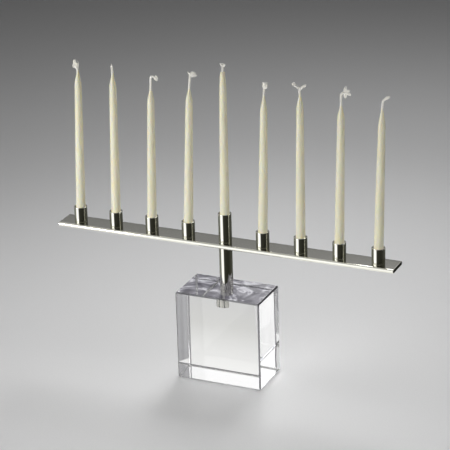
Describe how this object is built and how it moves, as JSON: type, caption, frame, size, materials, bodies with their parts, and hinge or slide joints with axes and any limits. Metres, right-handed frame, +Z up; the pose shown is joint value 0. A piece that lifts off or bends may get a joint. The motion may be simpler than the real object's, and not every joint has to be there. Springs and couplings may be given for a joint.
{
  "type": "candelabrum",
  "caption": "Menorah: a flat polished bar with a row of candle cups and a taller middle cup, on a round post over a clear glass block, with tapered candles.",
  "frame": {"origin": "on the supporting surface under the middle of the glass block", "axes": "+X along the bar, +Y away from the front, +Z up along the post"},
  "size_m": [0.342, 0.049, 0.3117],
  "materials": {
    "clear_glass": "clear, polished, with small ground bevels",
    "polished_steel": "mirror polished",
    "plain_steel": "turned, unpolished",
    "ivory_wax": "smooth dipped wax, soft sheen",
    "cotton_wick": "braided cotton, wax-stiffened, frayed at the end"
  },
  "bodies": {
    "stand": {"glass_block": "clear_glass", "post": "polished_steel", "bar": "polished_steel", "middle_cup": "polished_steel", "cup_1": "polished_steel", "cup_2": "polished_steel", "cup_3": "polished_steel", "cup_4": "polished_steel", "cup_5": "polished_steel", "cup_6": "polished_steel", "cup_7": "polished_steel", "cup_8": "polished_steel", "socket": "plain_steel", "lower_stud": "plain_steel", "upper_stud": "plain_steel", "cup_screw_1": "plain_steel", "cup_screw_2": "plain_steel", "cup_screw_3": "plain_steel", "cup_screw_4": "plain_steel", "cup_screw_5": "plain_steel", "cup_screw_6": "plain_steel", "cup_screw_7": "plain_steel", "cup_screw_8": "plain_steel"},
    "lift_out_candle_1": {"candle_1": "ivory_wax", "wick_1": "cotton_wick"},
    "lift_out_candle_2": {"candle_2": "ivory_wax", "wick_2": "cotton_wick"},
    "lift_out_candle_3": {"candle_3": "ivory_wax", "wick_3": "cotton_wick"},
    "lift_out_candle_4": {"candle_4": "ivory_wax", "wick_4": "cotton_wick"},
    "lift_out_candle_middle": {"candle_middle": "ivory_wax", "wick_middle": "cotton_wick"},
    "lift_out_candle_5": {"candle_5": "ivory_wax", "wick_5": "cotton_wick"},
    "lift_out_candle_6": {"candle_6": "ivory_wax", "wick_6": "cotton_wick"},
    "lift_out_candle_7": {"candle_7": "ivory_wax", "wick_7": "cotton_wick"},
    "lift_out_candle_8": {"candle_8": "ivory_wax", "wick_8": "cotton_wick"}
  },
  "joints": [
    {"name": "candle_1_lift", "type": "slide", "parent": "stand", "child": "lift_out_candle_1", "axis": [0, 0, 1], "range_m": [0, 0.04]},
    {"name": "candle_2_lift", "type": "slide", "parent": "stand", "child": "lift_out_candle_2", "axis": [0, 0, 1], "range_m": [0, 0.04]},
    {"name": "candle_3_lift", "type": "slide", "parent": "stand", "child": "lift_out_candle_3", "axis": [0, 0, 1], "range_m": [0, 0.04]},
    {"name": "candle_4_lift", "type": "slide", "parent": "stand", "child": "lift_out_candle_4", "axis": [0, 0, 1], "range_m": [0, 0.04]},
    {"name": "candle_middle_lift", "type": "slide", "parent": "stand", "child": "lift_out_candle_middle", "axis": [0, 0, 1], "range_m": [0, 0.04]},
    {"name": "candle_5_lift", "type": "slide", "parent": "stand", "child": "lift_out_candle_5", "axis": [0, 0, 1], "range_m": [0, 0.04]},
    {"name": "candle_6_lift", "type": "slide", "parent": "stand", "child": "lift_out_candle_6", "axis": [0, 0, 1], "range_m": [0, 0.04]},
    {"name": "candle_7_lift", "type": "slide", "parent": "stand", "child": "lift_out_candle_7", "axis": [0, 0, 1], "range_m": [0, 0.04]},
    {"name": "candle_8_lift", "type": "slide", "parent": "stand", "child": "lift_out_candle_8", "axis": [0, 0, 1], "range_m": [0, 0.04]}
  ]
}
